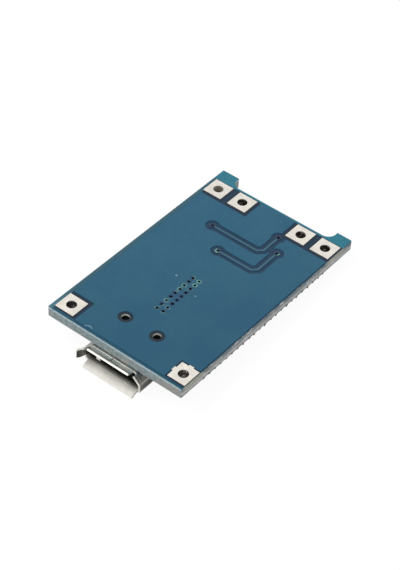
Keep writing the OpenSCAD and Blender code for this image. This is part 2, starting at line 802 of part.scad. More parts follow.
// Moulded body: a flat band at the height of the leads, slanted walls over and under it, and a round dent
// by its first lead, given as distance from the sides, width and depth
module chip_body(kind) {
    draft = 0.12;
    dot = [0.55, 0.45, 0.05];
    band = kind[7];
    stand = kind[9];
    mid = lead_height(kind);
    top = stand + kind[2];
    function wall(w) = [
        [-w / 2 + draft, stand], [w / 2 - draft, stand], [w / 2, mid - band / 2], [w / 2, mid + band / 2],
        [w / 2 - draft, top], [draft - w / 2, top], [-w / 2, mid + band / 2], [-w / 2, mid - band / 2]
    ];
    difference() {
        intersection() {
            translate([0, kind[0] / 2, 0]) rotate([90, 0, 0])
                linear_extrude(kind[0]) polygon(wall(kind[1]));
            translate([-kind[1] / 2, 0, 0]) rotate([90, 0, 90])
                linear_extrude(kind[1]) polygon(wall(kind[0]));
        }
        translate([kind[1] / 2 - dot[0], kind[0] / 2 - dot[0], top - dot[2]])
            cylinder(h = over, d = dot[1]);
    }
}

function lead_height(kind) = kind[9] + kind[2] * 0.45;

module chip_lead(kind) {
    t = kind[7];
    mid = lead_height(kind);
    tip = kind[3] / 2;
    heel = tip - kind[8];
    start = kind[1] / 2;
    bend = start + (heel - start) * 0.5;
    profile = [
        [start, mid - t / 2], [bend - t / 3, mid - t / 2], [heel - t / 2, 0], [tip, 0], [tip, t],
        [heel + t / 4, t], [bend + t / 3, mid + t / 2], [start, mid + t / 2]
    ];
    translate([0, kind[6] / 2, 0]) rotate([90, 0, 0]) linear_extrude(kind[6]) polygon(profile);
}

module chip_leads(kind) {
    for (side = [0, 1], i = [0:kind[4] - 1])
        mirror([side, 0, 0]) translate([0, pin_place(kind, i), 0]) chip_lead(kind);
}

module charger_body() {
    color([0.13, 0.13, 0.14]) placed() under_board(charger_at) chip_body(charger_kind);
}
module charger_leads() {
    color([0.78, 0.78, 0.77]) placed() under_board(charger_at) chip_leads(charger_kind);
}
module charger_heat_slug() {
    color([0.78, 0.78, 0.77]) placed() under_board(charger_at)
        linear_extrude(charger_kind[9]) centred_square([0, 0], slug_size);
}
module protection_body() {
    color([0.13, 0.13, 0.14]) placed() under_board(guard_at) chip_body(guard_kind);
}
module protection_leads() {
    color([0.78, 0.78, 0.77]) placed() under_board(guard_at) chip_leads(guard_kind);
}
module switch_body() {
    color([0.13, 0.13, 0.14]) placed() under_board(switch_at, true) chip_body(switch_kind);
}
module switch_leads() {
    color([0.78, 0.78, 0.77]) placed() under_board(switch_at, true) chip_leads(switch_kind);
}

// Small parts lie along the board, or across it
module small_body(p, h) {
    inner = chip_l - 2 * cap_l;
    under_board(p, p.z) translate([-chip_w / 2, -inner / 2, 0]) cube([chip_w, inner, h]);
}

module small_caps(p, h) {
    under_board(p, p.z) for (side = [0, 1]) mirror([0, side, 0])
        translate([-chip_w / 2, chip_l / 2 - cap_l, 0]) cube([chip_w, cap_l, h]);
}

module resistor_body(p) {
    color([0.15, 0.15, 0.17]) placed() small_body(p, resistor_h);
}
module resistor_caps(p) {
    color([0.8, 0.8, 0.79]) placed() small_caps(p, resistor_h);
}
module capacitor_body(p) {
    color([0.62, 0.5, 0.36]) placed() small_body(p, capacitor_h);
}
module capacitor_caps(p) {
    color([0.8, 0.8, 0.79]) placed() small_caps(p, capacitor_h);
}

module lamp_base(p) {
    color([0.92, 0.92, 0.88]) placed() small_body(p, lamp_base_h);
}
module lamp_terminals(p) {
    color([0.85, 0.76, 0.5]) placed() small_caps(p, lamp_base_h);
}
module lamp_lens(p, tint) {
    inner = chip_l - 2 * cap_l;
    slope = lens_h * 0.3;
    dome = [[-inner / 2, 0], [inner / 2, 0], [inner / 2 - slope, lens_h], [slope - inner / 2, lens_h]];
    color(tint) placed() under_board(p, p.z) translate([-chip_w / 2, 0, lamp_base_h])
        rotate([90, 0, 90]) linear_extrude(chip_w) polygon(dome);
}

module charging_lamp_base() { lamp_base(charging_lamp); }
module charging_lamp_lens() { lamp_lens(charging_lamp, [0.85, 0.2, 0.15]); }
module charging_lamp_terminals() { lamp_terminals(charging_lamp); }
module full_lamp_base() { lamp_base(full_lamp); }
module full_lamp_lens() { lamp_lens(full_lamp, [0.25, 0.45, 0.9]); }
module full_lamp_terminals() { lamp_terminals(full_lamp); }
module lamp_resistor_1_body() { resistor_body(lamp_resistor_1); }
module lamp_resistor_1_caps() { resistor_caps(lamp_resistor_1); }
module lamp_resistor_2_body() { resistor_body(lamp_resistor_2); }
module lamp_resistor_2_caps() { resistor_caps(lamp_resistor_2); }
module current_resistor_body() { resistor_body(current_resistor); }
module current_resistor_caps() { resistor_caps(current_resistor); }
module input_resistor_body() { resistor_body(input_resistor); }
module input_resistor_caps() { resistor_caps(input_resistor); }
module filter_resistor_body() { resistor_body(filter_resistor); }
module filter_resistor_caps() { resistor_caps(filter_resistor); }
module sense_resistor_body() { resistor_body(sense_resistor); }
module sense_resistor_caps() { resistor_caps(sense_resistor); }
module input_capacitor_body() { capacitor_body(input_capacitor); }
module input_capacitor_caps() { capacitor_caps(input_capacitor); }
module cell_capacitor_body() { capacitor_body(cell_capacitor); }
module cell_capacitor_caps() { capacitor_caps(cell_capacitor); }
module filter_capacitor_body() { capacitor_body(filter_capacitor); }
module filter_capacitor_caps() { capacitor_caps(filter_capacitor); }

printed_board();
back_copper();
front_copper();
front_lands();
pad_in_plus();
pad_in_minus();
pad_out_plus();
pad_battery_plus();
pad_battery_minus();
pad_out_minus();
heat_vias();
signal_vias();
socket_case();
socket_insulator();
socket_contact_1();
socket_contact_2();
socket_contact_3();
socket_contact_4();
socket_contact_5();
charger_body();
charger_leads();
charger_heat_slug();
protection_body();
protection_leads();
switch_body();
switch_leads();
charging_lamp_base();
charging_lamp_lens();
charging_lamp_terminals();
full_lamp_base();
full_lamp_lens();
full_lamp_terminals();
lamp_resistor_1_body();
lamp_resistor_1_caps();
lamp_resistor_2_body();
lamp_resistor_2_caps();
current_resistor_body();
current_resistor_caps();
input_resistor_body();
input_resistor_caps();
filter_resistor_body();
filter_resistor_caps();
sense_resistor_body();
sense_resistor_caps();
input_capacitor_body();
input_capacitor_caps();
cell_capacitor_body();
cell_capacitor_caps();
filter_capacitor_body();
filter_capacitor_caps();
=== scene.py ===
# Looks of the lithium cell charger module: materials, solder, floor, light and the camera.
import math
import random

import bmesh
import bpy
from mathutils import Matrix, Vector


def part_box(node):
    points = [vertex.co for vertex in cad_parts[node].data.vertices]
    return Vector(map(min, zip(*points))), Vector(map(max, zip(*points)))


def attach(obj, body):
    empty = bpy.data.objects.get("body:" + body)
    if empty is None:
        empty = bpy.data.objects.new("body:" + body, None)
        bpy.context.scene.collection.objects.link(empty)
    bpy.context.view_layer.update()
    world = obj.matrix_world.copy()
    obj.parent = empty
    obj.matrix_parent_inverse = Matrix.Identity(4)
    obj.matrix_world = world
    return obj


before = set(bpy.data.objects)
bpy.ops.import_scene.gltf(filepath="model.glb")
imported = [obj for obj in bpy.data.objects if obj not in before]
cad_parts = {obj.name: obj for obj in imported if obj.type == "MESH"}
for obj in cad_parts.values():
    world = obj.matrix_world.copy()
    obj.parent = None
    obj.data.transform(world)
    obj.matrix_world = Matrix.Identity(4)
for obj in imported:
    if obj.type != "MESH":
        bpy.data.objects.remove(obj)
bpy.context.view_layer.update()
MM = 0.001

# Board places: millimetres from the left corner of the socket edge, heights from the laminate's back face
board_lo, board_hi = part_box("printed_board")
BOARD_W = (board_hi.x - board_lo.x) / MM
BOARD_L = (board_hi.y - board_lo.y) / MM
BOARD_T = (board_hi.z - board_lo.z) / MM
copper_lo, copper_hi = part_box("back_copper")
COPPER_T = (copper_hi.z - board_hi.z) / MM
UNDER = -BOARD_T - COPPER_T
POUR_LEFT, POUR_NEAR = (copper_lo.x - board_lo.x) / MM, (copper_lo.y - board_lo.y) / MM
POUR_FAR = (copper_hi.y - board_lo.y) / MM


def at(x, y, z=0.0):
    return Vector((board_lo.x + x * MM, board_lo.y + y * MM, board_hi.z + z * MM))


def board_box(node):
    """Lowest and highest corner of a node in board places."""
    lo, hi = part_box(node)
    origin = at(0, 0, 0)
    return (lo - origin) / MM, (hi - origin) / MM


PAD_NODES = ("in_plus", "in_minus", "out_plus", "battery_plus", "battery_minus", "out_minus")
PADS = [board_box("pad_" + name) for name in PAD_NODES]

# Marks on the back face, in board places: a nick of two short scratches, and two pale specks
SCRATCHES = (((4.55, 0.35), (4.95, 0.6)), ((4.95, 0.6), (5.35, 0.5)))
SPECKS = ((6.69, 11.78, 0.6), (10.0, 10.69, 0.35))


def via_rows():
    """Middle of the two rows of heat vias, half their distance, their first place and their pitch."""
    lo, hi = board_box("heat_vias")
    wide = VIA_D / 2
    pitch = (hi.y - lo.y - 2 * wide) / (VIA_COUNT - 1)
    return (lo.x + hi.x) / 2, (hi.x - lo.x) / 2 - wide, lo.y + wide, pitch


# Over its plating a via is 0.4 wide, and each row holds nine; the tracks run from via to via
VIA_D, VIA_COUNT = 0.4, 9
# The pegs' holes are this far from the socket edge, and all of their walls lie within the reach
PEG_Y, PEG_REACH = 3.88, 0.5
TRACKS = (
    ((4.75, 20.15), (10.5, 20.15), (11.0, 20.65), (11.0, 23.2)),
    ((7.55, 17.45), (11.8, 17.45), (12.3, 17.95), (12.3, 21.15)),
)


# Materials


class Net:
    """A material's nodes, with short names for the ones used here."""

    def __init__(self, name):
        self.mat = bpy.data.materials.new(name)
        self.mat.use_nodes = True
        self.tree = self.mat.node_tree
        self.tree.nodes.clear()
        self.out = self.add("ShaderNodeOutputMaterial")
        self.shader = self.add("ShaderNodeBsdfPrincipled")
        self.link(self.shader.outputs[0], self.out.inputs["Surface"])
        coords = self.add("ShaderNodeTexCoord")
        shift = self.add("ShaderNodeVectorMath", operation="SUBTRACT")
        self.link(coords.outputs["Object"], shift.inputs[0])
        shift.inputs[1].default_value = at(0, 0, 0)
        scale = self.add("ShaderNodeVectorMath", operation="SCALE")
        self.link(shift.outputs[0], scale.inputs[0])
        scale.inputs["Scale"].default_value = 1 / MM
        self.place = scale.outputs[0]
        split = self.add("ShaderNodeSeparateXYZ")
        self.link(self.place, split.inputs[0])
        self.x, self.y, self.z = split.outputs
        facing = self.add("ShaderNodeSeparateXYZ")
        geometry = self.add("ShaderNodeNewGeometry")
        self.link(geometry.outputs["True Normal"], facing.inputs[0])
        self.nx, self.ny, self.nz = facing.outputs

    def add(self, kind, **values):
        node = self.tree.nodes.new(kind)
        for key, value in values.items():
            setattr(node, key, value)
        return node

    def link(self, a, b):
        self.tree.links.new(a, b)

    def feed(self, socket, value):
        if isinstance(value, bpy.types.NodeSocket):
            self.link(value, socket)
        else:
            socket.default_value = value

    def math(self, op, a, b=0.0, c=None, clamp=False):
        node = self.add("ShaderNodeMath", operation=op, use_clamp=clamp)
        self.feed(node.inputs[0], a)
        self.feed(node.inputs[1], b)
        if c is not None:
            self.feed(node.inputs[2], c)
        return node.outputs[0]

    def smooth(self, value, lo, hi, to_lo=0.0, to_hi=1.0):
        node = self.add("ShaderNodeMapRange", interpolation_type="SMOOTHSTEP")
        self.feed(node.inputs["Value"], value)
        node.inputs["From Min"].default_value = lo
        node.inputs["From Max"].default_value = hi
        node.inputs["To Min"].default_value = to_lo
        node.inputs["To Max"].default_value = to_hi
        return node.outputs[0]

    def noise(self, scale, detail=3.0, rough=0.55, stretch=None, seed=0.0):
        node = self.add("ShaderNodeTexNoise", noise_dimensions="4D")
        vector = self.place
        if stretch:
            times = self.add("ShaderNodeVectorMath", operation="MULTIPLY")
            self.link(vector, times.inputs[0])
            times.inputs[1].default_value = stretch
            vector = times.outputs[0]
        self.link(vector, node.inputs["Vector"])
        node.inputs["W"].default_value = seed
        node.inputs["Scale"].default_value = scale
        node.inputs["Detail"].default_value = detail
        node.inputs["Roughness"].default_value = rough
        return node.outputs["Fac"]

    def cells(self, scale, stretch=None, feature="F1"):
        node = self.add("ShaderNodeTexVoronoi", feature=feature)
        vector = self.place
        if stretch:
            times = self.add("ShaderNodeVectorMath", operation="MULTIPLY")
            self.link(vector, times.inputs[0])
            times.inputs[1].default_value = stretch
            vector = times.outputs[0]
        self.link(vector, node.inputs["Vector"])
        node.inputs["Scale"].default_value = scale
        return node.outputs["Distance"]

    def mix(self, fac, a, b, how="MIX"):
        node = self.add("ShaderNodeMix", data_type="RGBA", blend_type=how)
        self.feed(node.inputs["Factor"], fac)
        for socket, value in ((node.inputs[6], a), (node.inputs[7], b)):
            self.feed(socket, value if isinstance(value, bpy.types.NodeSocket) else tint(value))
        return node.outputs[2]

    def shade(self, colour, value, low, high):
        """Colour times a factor that goes from low to high with value."""
        factor = self.smooth(value, 0.25, 0.75, low, high)
        node = self.add("ShaderNodeVectorMath", operation="SCALE")
        self.feed(node.inputs[0], colour if isinstance(colour, bpy.types.NodeSocket) else colour[:3])
        self.link(factor, node.inputs["Scale"])
        return node.outputs[0]

    def scaled(self, colour, factor):
        node = self.add("ShaderNodeVectorMath", operation="SCALE")
        self.link(colour, node.inputs[0])
        self.feed(node.inputs["Scale"], factor)
        return node.outputs[0]

    def bump(self, height, distance, strength=1.0):
        """Distance in millimetres."""
        node = self.add("ShaderNodeBump")
        node.inputs["Strength"].default_value = strength
        node.inputs["Distance"].default_value = distance * MM
        self.link(height, node.inputs["Height"])
        self.link(node.outputs[0], self.shader.inputs["Normal"])

    def finish(self, colour, rough, metal=0.0, specular=0.5, coat=0.0):
        self.feed(self.shader.inputs["Base Color"], colour)
        self.feed(self.shader.inputs["Roughness"], rough)
        self.shader.inputs["Metallic"].default_value = metal
        self.shader.inputs["Specular IOR Level"].default_value = specular
        self.shader.inputs["Coat Weight"].default_value = coat
        return self.mat


def tint(colour):
    """A colour written as the photograph shows it, 0 to 255, as the linear one that the shader takes."""
    out = []
    for part in colour[:3]:
        c = part / 255
        out.append(c / 12.92 if c <= 0.04045 else ((c + 0.055) / 1.055) ** 2.4)
    return (*out, 1.0)


def length_of(net, u, v):
    return net.math("SQRT", net.math("ADD", net.math("MULTIPLY", u, u), net.math("MULTIPLY", v, v)))


def near_line(net, a, b, width):
    """1 on the line between two board places, falling to 0 at half the width."""
    dx, dy = b[0] - a[0], b[1] - a[1]
    length = dx * dx + dy * dy
    u = net.math("SUBTRACT", net.x, a[0])
    v = net.math("SUBTRACT", net.y, a[1])
    part_u, part_v = net.math("MULTIPLY", u, dx / length), net.math("MULTIPLY", v, dy / length)
    along = net.math("ADD", part_u, part_v, clamp=True)
    off_x = net.math("SUBTRACT", u, net.math("MULTIPLY", along, dx))
    off_y = net.math("SUBTRACT", v, net.math("MULTIPLY", along, dy))
    return net.smooth(length_of(net, off_x, off_y), width * 0.2, width * 0.5, 1.0, 0.0)


def from_box(net, lo, hi):
    """Distance outside a box in the board's plane, as millimetres."""
    across = net.math("ABSOLUTE", net.math("SUBTRACT", net.x, (lo.x + hi.x) / 2))
    along = net.math("ABSOLUTE", net.math("SUBTRACT", net.y, (lo.y + hi.y) / 2))
    return net.math(
        "MAXIMUM",
        net.math("SUBTRACT", across, (hi.x - lo.x) / 2),
        net.math("SUBTRACT", along, (hi.y - lo.y) / 2),
    )


def near_heat_via(net):
    """1 at the rim of each heat via, falling to 0 a little way out."""
    middle, half, first, pitch = via_rows()
    across = net.math("SUBTRACT", net.math("ABSOLUTE", net.math("SUBTRACT", net.x, middle)), half)
    from_first = net.math("SUBTRACT", net.y, first)
    along = net.math("WRAP", from_first, pitch / 2, -pitch / 2)
    off = length_of(net, across, along)
    inside = net.math("COMPARE", from_first, (VIA_COUNT - 1) * pitch / 2, VIA_COUNT * pitch / 2)
    return net.math("MULTIPLY", inside, net.smooth(off, 0.24, 0.38, 1.0, 0.0))


def coated_copper():
    """Blue coating over copper: nearly even, with faint clouds, tiny pale specks and one short scratch, a
    painted light falloff across the board and painted shade in the dips at the heat vias.
    """
    net = Net("coated_copper")
    clouds = net.noise(0.16, 4.0, 0.6)
    weave = net.noise(1.6, 2.0, 0.5, seed=12.0)
    grain = net.noise(7.0, 3.0, 0.6, seed=3.0)
    colour = net.mix(net.smooth(clouds, 0.36, 0.64), (36, 92, 120), (44, 97, 122))
    # Painted light: the coating is scaled brighter towards the far left of the board and darker towards the
    # near right
    painted_light_falloff = net.smooth(net.math("SUBTRACT", net.y, net.x), -16.0, 26.0, 0.93, 1.1)
    colour = net.scaled(colour, painted_light_falloff)
    colour = net.shade(colour, weave, 0.975, 1.03)
    colour = net.shade(colour, grain, 0.97, 1.03)
    specks = net.smooth(net.cells(1.1), 0.05, 0.08, 1.0, 0.0)
    some = net.smooth(net.noise(0.9, 2.0, seed=8.0), 0.62, 0.68)
    colour = net.mix(net.math("MULTIPLY", net.math("MULTIPLY", specks, some), 0.3), colour, (110, 150, 170))
    for a, b in SCRATCHES:
        colour = net.mix(net.math("MULTIPLY", near_line(net, a, b, 0.16), 0.55), colour, (150, 186, 200))
    for x, y, strength in SPECKS:
        spot = near_line(net, (x, y), (x + 0.05, y), 0.28)
        colour = net.mix(net.math("MULTIPLY", spot, strength), colour, (160, 196, 208))
    for route in TRACKS:
        for a, b in zip(route, route[1:]):
            colour = net.mix(net.math("MULTIPLY", near_line(net, a, b, 0.3), 0.5), colour, (84, 112, 124))
    # Painted shade in the dip around each heat via, with a paler rim on some vias
    via_dip_shade_and_pale_rim = net.mix(net.smooth(net.noise(0.75, 2.0, 0.5, seed=18.0), 0.46, 0.58), (32, 56, 94), (112, 156, 152))
    colour = net.mix(net.math("MULTIPLY", near_heat_via(net), 0.6), colour, via_dip_shade_and_pale_rim)
    net.bump(net.math("ADD", net.noise(2.2, 3.0), net.math("MULTIPLY", grain, 0.25)), 0.01)
    rough = net.smooth(clouds, 0.2, 0.8, 0.46, 0.54)
    return net.finish(colour, rough, specular=0.26)


def coated_face(net, clouds):
    """The coating where no copper lies under it: dark between copper, with painted shade close around the pads,
    clear teal outside the copper area.
    """
    bands = net.shade(tint((24, 58, 84)), clouds, 0.9, 1.1)
    edge_of_pad = None
    for pad in PADS:
        off = from_box(net, *pad)
        edge_of_pad = off if edge_of_pad is None else net.math("MINIMUM", edge_of_pad, off)
    # Painted shade: the coating darkens close around each pad
    bands = net.mix(net.smooth(edge_of_pad, 0.05, 0.55, 0.75, 0.0), bands, (18, 30, 44))
    bands = net.mix(net.math("MULTIPLY", near_pegs(net), 0.85), bands, (26, 40, 46))
    ears = net.shade(tint((46, 124, 145)), net.noise(1.1, 3.0, seed=15.0), 0.94, 1.07)
    left = net.mix(net.smooth(net.y, 0.6, 3.4), (76, 120, 136), (56, 98, 114))
    near = (30, 82, 106)
    colour = net.mix(net.smooth(net.y, POUR_NEAR + 0.08, POUR_NEAR - 0.04), bands, near)
    colour = net.mix(net.smooth(net.x, POUR_LEFT - 0.02, POUR_LEFT - 0.1), colour, left)
    return net.mix(net.smooth(net.y, POUR_FAR + 0.04, POUR_FAR + 0.16), colour, ears)


def routed_wall(net):
    """A milled end wall: grey glass cloth cut across, mottled, with a painted highlight making it paler under
    the top arris.
    """
    blobs = net.noise(2.6, 4.0, 0.62, stretch=(1.0, 1.0, 1.6), seed=5.0)
    fine = net.noise(9.0, 3.0, 0.62, stretch=(1.0, 1.0, 1.5), seed=2.0)
    warm = net.noise(0.5, 2.0, 0.5, seed=21.0)
    depth = net.math("MULTIPLY", net.z, -1.0)
    colour = net.mix(net.smooth(blobs, 0.38, 0.62), (120, 138, 142), (158, 168, 168))
    colour = net.mix(net.math("MULTIPLY", net.smooth(warm, 0.5, 0.64), 0.6), colour, (164, 160, 154))
    colour = net.mix(net.smooth(fine, 0.56, 0.72), colour, (104, 122, 128))
    colour = net.mix(net.math("MULTIPLY", net.smooth(fine, 0.44, 0.3), 0.7), colour, (186, 194, 192))
    # Painted highlight: a paler band just under the top arris
    pale = net.math("MULTIPLY", net.smooth(depth, 0.0, 0.08), net.smooth(depth, 0.2, 0.36, 1.0, 0.0))
    pale = net.math("MULTIPLY", pale, net.smooth(blobs, 0.34, 0.56, 0.35, 0.95))
    return net.mix(pale, colour, (182, 206, 214)), blobs, fine


def snapped_wall(net):
    """A long edge: coated score slope at the top, a pale snapped middle, and low down dark broken fibres over
    painted shade on the down-facing lower slope.
    """
    streaks = net.noise(2.4, 4.0, 0.6, stretch=(1.0, 0.5, 2.2), seed=31.0)
    fine = net.noise(8.0, 3.0, 0.62, stretch=(1.0, 0.6, 1.6), seed=33.0)
    teeth = net.noise(1.0, 2.0, 0.5, stretch=(1.0, 1.2, 0.2), seed=35.0)
    depth = net.math("ADD", net.math("MULTIPLY", net.z, -1.0), net.smooth(streaks, 0.3, 0.7, -0.07, 0.07))
    colour = net.mix(net.smooth(depth, 0.0, 0.3), (74, 97, 110), (134, 141, 144))
    colour = net.mix(net.smooth(depth, 0.34, 0.62), colour, (186, 187, 186))
    colour = net.mix(net.smooth(fine, 0.5, 0.66), colour, (142, 152, 154))
    colour = net.mix(net.math("MULTIPLY", net.smooth(streaks, 0.52, 0.66), 0.7), colour, (214, 214, 211))
    # Painted shade on the down-facing lower slope, ragged with the broken fibres
    low = net.math("MULTIPLY", net.smooth(depth, 0.78, 0.9), net.smooth(depth, 1.02, 1.14, 1.0, 0.0))
    low = net.math("MULTIPLY", low, net.smooth(teeth, 0.4, 0.56, 0.2, 0.9))
    colour = net.mix(low, colour, (62, 60, 60))
    # Beside the two edge pads the coating is worn and the fibres show olive
    by_pad = None
    for lo, hi in (PADS[1], PADS[5]):
        off = net.math("ABSOLUTE", net.math("SUBTRACT", net.y, (lo.y + hi.y) / 2))
        near = net.smooth(off, (hi.y - lo.y) / 2 - 0.1, (hi.y - lo.y) / 2 + 0.5, 1.0, 0.0)
        by_pad = near if by_pad is None else net.math("MAXIMUM", by_pad, near)
    by_pad = net.math("MULTIPLY", by_pad, net.smooth(depth, 0.35, 0.6, 0.7, 0.0))
    return net.mix(by_pad, colour, (176, 178, 160))


def near_pegs(net):
    """1 beside the pegs' holes, whose row lies across the board."""
    off = net.math("ABSOLUTE", net.math("SUBTRACT", net.y, PEG_Y))
    return net.smooth(off, PEG_REACH, PEG_REACH + 0.4, 1.0, 0.0)


def laminate():
    """Glass-fibre laminate: blue coating on its faces, pale cut walls, snapped long edges with their fibres."""
    net = Net("laminate")
    clouds = net.noise(0.3, 4.0, 0.6)
    coating = coated_face(net, clouds)
    routed, blobs, fine = routed_wall(net)
    side = net.math("MINIMUM", net.x, net.math("SUBTRACT", BOARD_W, net.x))
    walls = net.mix(net.smooth(side, 0.12, 0.2, 1.0, 0.0), routed, snapped_wall(net))
    # The pegs' holes are pale at the top of their walls, where the drill left the glass bare; lower down the
    # walls are painted black as painted shade deep in the hole
    by_peg = net.math("MULTIPLY", near_pegs(net), net.smooth(side, 1.0, 1.1))
    peg_wall = net.mix(net.smooth(net.z, -0.24, -0.15), (16, 16, 17), (232, 232, 224))
    walls = net.mix(by_peg, walls, peg_wall)
    face = net.smooth(net.math("ABSOLUTE", net.nz), 0.6, 0.8)
    colour = net.mix(face, walls, coating)
    net.bump(net.math("ADD", blobs, net.math("MULTIPLY", fine, 0.5)), 0.035)
    rough = net.math("ADD", net.math("MULTIPLY", face, -0.28), 0.78)
    return net.finish(colour, rough, specular=0.26)


def tinned_pad():
    """Hot-tinned copper: a warm pale metal, not quite flat, with painted shade darkening the plated hole, with
    pale flecks.
    """
    net = Net("tinned_pad")
    clouds = net.noise(1.3, 3.0, 0.5, seed=1.0)
    fine = net.noise(11.0, 3.0, 0.6, seed=4.0)
    colour = net.shade(tint((230, 225, 216)), clouds, 0.9, 1.04)
    wall = net.smooth(net.math("ABSOLUTE", net.nz), 0.3, 0.7, 1.0, 0.0)
    edge = net.smooth(net.z, -0.08, 0.04, 1.0, 0.0)
    bore = net.math("MULTIPLY", wall, edge)
    # Painted shade: the plated hole's wall is painted dark, with pale flecks
    painted_hole_shade = net.mix(net.smooth(net.noise(3.0, 3.0, 0.6, seed=6.0), 0.54, 0.66), (40, 36, 31), (196, 190, 178))
    # The hole of output plus is paler than the others
    pale_hole = net.smooth(from_box(net, *PADS[2]), 0.0, 0.1, 0.75, 0.0)
    painted_hole_shade = net.mix(pale_hole, painted_hole_shade, (176, 171, 160))
    colour = net.mix(bore, colour, painted_hole_shade)
    net.bump(net.math("ADD", clouds, net.math("MULTIPLY", fine, 0.3)), 0.03)
    rough = net.smooth(fine, 0.3, 0.7, 0.36, 0.5)
    net.finish(colour, rough)
    net.link(net.math("SUBTRACT", 1.0, net.math("MULTIPLY", bore, 0.8)), net.shader.inputs["Metallic"])
    return net.mat


def via_metal():
    """Coated rim of a via, brighter where the coating is thin, with its bore painted near black as painted
    shade.
    """
    net = Net("via_metal")
    fine = net.noise(9.0, 2.0, seed=6.0)
    bare = net.noise(0.75, 2.0, 0.5, seed=18.0)
    rim = net.mix(net.smooth(bare, 0.46, 0.6), (34, 54, 84), (118, 176, 172))
    rim = net.shade(rim, fine, 0.85, 1.1)
    wall = net.smooth(net.math("ABSOLUTE", net.nz), 0.3, 0.7, 1.0, 0.0)
    # Painted shade: the bore is painted near black
    bore = net.mix(net.smooth(bare, 0.4, 0.46), (40, 78, 100), (2, 16, 30))
    colour = net.mix(wall, rim, bore)
    net.bump(fine, 0.01)
    return net.finish(colour, net.smooth(fine, 0.3, 0.7, 0.34, 0.5), metal=0.3)


def on_narrow_side(net):
    """1 on the outer face of the case's narrow side, next to the board, and of its lip."""
    return net.math("MULTIPLY", net.smooth(net.nz, 0.3, 0.6), net.smooth(net.z, -1.62, -1.5))


def socket_painted_shade(net):
    """Painted shade on the case's sheet: on its right side, with a darker band there as a painted reflection,
    deep in its mouth, inside its left lip and on its narrow side."""
    band = net.math("MULTIPLY", net.smooth(net.z, -2.28, -2.36), net.smooth(net.z, -3.1, -2.95))
    right = net.math("MULTIPLY", net.smooth(net.nx, 0.35, 0.65), net.smooth(net.x, 11.2, 11.5))
    right = net.math("MULTIPLY", right, net.math("ADD", 0.38, net.math("MULTIPLY", band, 0.3)))
    deep = net.math("MULTIPLY", net.smooth(net.z, -2.2, -2.5), net.smooth(net.y, -0.45, 0.5))
    deep = net.math("MULTIPLY", net.math("MULTIPLY", net.smooth(net.nz, -0.2, 0.3), deep), 0.85)
    left_lip = net.math("MULTIPLY", net.smooth(net.x, 5.5, 5.15), net.smooth(net.nx, 0.1, 0.45))
    left_lip = net.math("MULTIPLY", left_lip, net.smooth(net.y, -0.4, -1.0, 0.6, 0.9))
    # Painted shade where the narrow lip's outer face leans to the board, and a painted shadow line where the
    # case comes out under it
    leaning = net.smooth(net.ny, 0.15, 0.45, 0.0, 0.35)
    line = net.smooth(net.y, -0.26, -0.14, 0.0, 0.48)
    narrow = net.math("MULTIPLY", on_narrow_side(net), net.math("MAXIMUM", leaning, line))
    return net.math("MAXIMUM", net.math("MAXIMUM", right, narrow), net.math("MAXIMUM", deep, left_lip))


def steel_sheet():
    """Tinned sheet, rolled along the socket, with faint streaks and a dull, uneven shine, painted paler on its
    narrow side as a painted highlight. It is satin inside the mouth and on the right lip's cut edge, and
    darkened by painted shade on its right side, deep in its mouth, inside its left lip and on its narrow side."""
    net = Net("steel_sheet")
    streaks = net.noise(5.0, 4.0, 0.6, stretch=(1.0, 0.08, 1.0), seed=7.0)
    clouds = net.noise(0.8, 3.0, 0.55, seed=9.0)
    # Painted highlight: the narrow side's up-facing outer face is painted paler than the rest of the sheet
    bare = net.mix(on_narrow_side(net), (232, 230, 222), (252, 251, 245))
    colour = net.shade(bare, streaks, 0.92, 1.04)
    colour = net.shade(colour, clouds, 0.93, 1.03)
    satin = net.math("MULTIPLY", net.smooth(net.nz, 0.15, 0.5), net.smooth(net.z, -2.9, -3.3))
    satin = net.math("MULTIPLY", satin, net.smooth(net.y, 0.5, -0.45))
    right_cut = net.math("MULTIPLY", net.smooth(net.ny, -0.5, -0.75), net.smooth(net.x, 10.9, 11.2))
    satin = net.math("MAXIMUM", satin, net.math("MULTIPLY", right_cut, 0.8))
    # Painted shade darkens the sheet on its right side, deep in the mouth, inside the left lip and on its
    # narrow side
    colour = net.scaled(colour, net.math("SUBTRACT", 1.0, socket_painted_shade(net)))
    net.bump(streaks, 0.004)
    rough = net.math("ADD", net.smooth(clouds, 0.3, 0.7, 0.3, 0.4), net.math("MULTIPLY", satin, 0.25))
    net.finish(colour, rough)
    net.link(net.math("SUBTRACT", 1.0, net.math("MULTIPLY", satin, 0.75)), net.shader.inputs["Metallic"])
    return net.mat


def plain_metal(name, colour, low, high, grain=9.0, depth=0.01, stretch=None, seed=0.0):
    net = Net(name)
    fine = net.noise(grain, 3.0, 0.6, stretch=stretch, seed=seed)
    clouds = net.noise(1.5, 2.0, 0.5, seed=seed + 1.0)
    tone = net.shade(net.shade(tint(colour), clouds, 0.92, 1.05), fine, 0.95, 1.03)
    net.bump(fine, depth)
    return net.finish(tone, net.smooth(fine, 0.3, 0.7, low, high), metal=1.0)


def moulded(name, colour, low, high, depth=0.008, specular=0.4, seed=0.0):
    """Moulded compound with its fine grain."""
    net = Net(name)
    fine = net.noise(16.0, 4.0, 0.65, seed=seed)
    clouds = net.noise(0.9, 2.0, 0.5, seed=seed + 1.0)
    tone = net.shade(net.shade(tint(colour), clouds, 0.9, 1.1), fine, 0.88, 1.14)
    net.bump(fine, depth)
    return net.finish(tone, net.smooth(fine, 0.3, 0.7, low, high), specular=specular)


